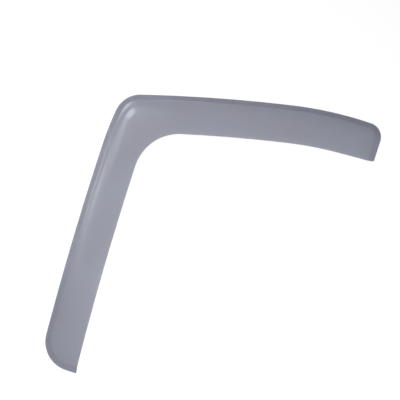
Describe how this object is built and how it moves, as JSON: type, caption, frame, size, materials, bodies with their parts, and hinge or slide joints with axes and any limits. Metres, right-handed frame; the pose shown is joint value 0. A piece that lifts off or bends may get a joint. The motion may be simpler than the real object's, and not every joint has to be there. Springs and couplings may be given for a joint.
{
  "type": "window rain deflector",
  "caption": "L-shaped smoked translucent shell with drafted side walls and a flat bonding rim, fixed round the front and top of a truck door's window to shed rain from the gap of an open pane.",
  "frame": {"origin": "on the plane of the mounting rim's underside, under the middle of the part in plan", "axes": "+X along the top leg, from the corner to the rear end; +Y up the window, from the foot to the roof line; +Z away from the door, out of the face"},
  "size_m": [0.7442, 0.6304, 0.02],
  "materials": {
    "smoked_acrylic": "smooth gloss, translucent smoke grey"
  },
  "bodies": {
    "root": {"deflector": "smoked_acrylic"}
  },
  "joints": []
}
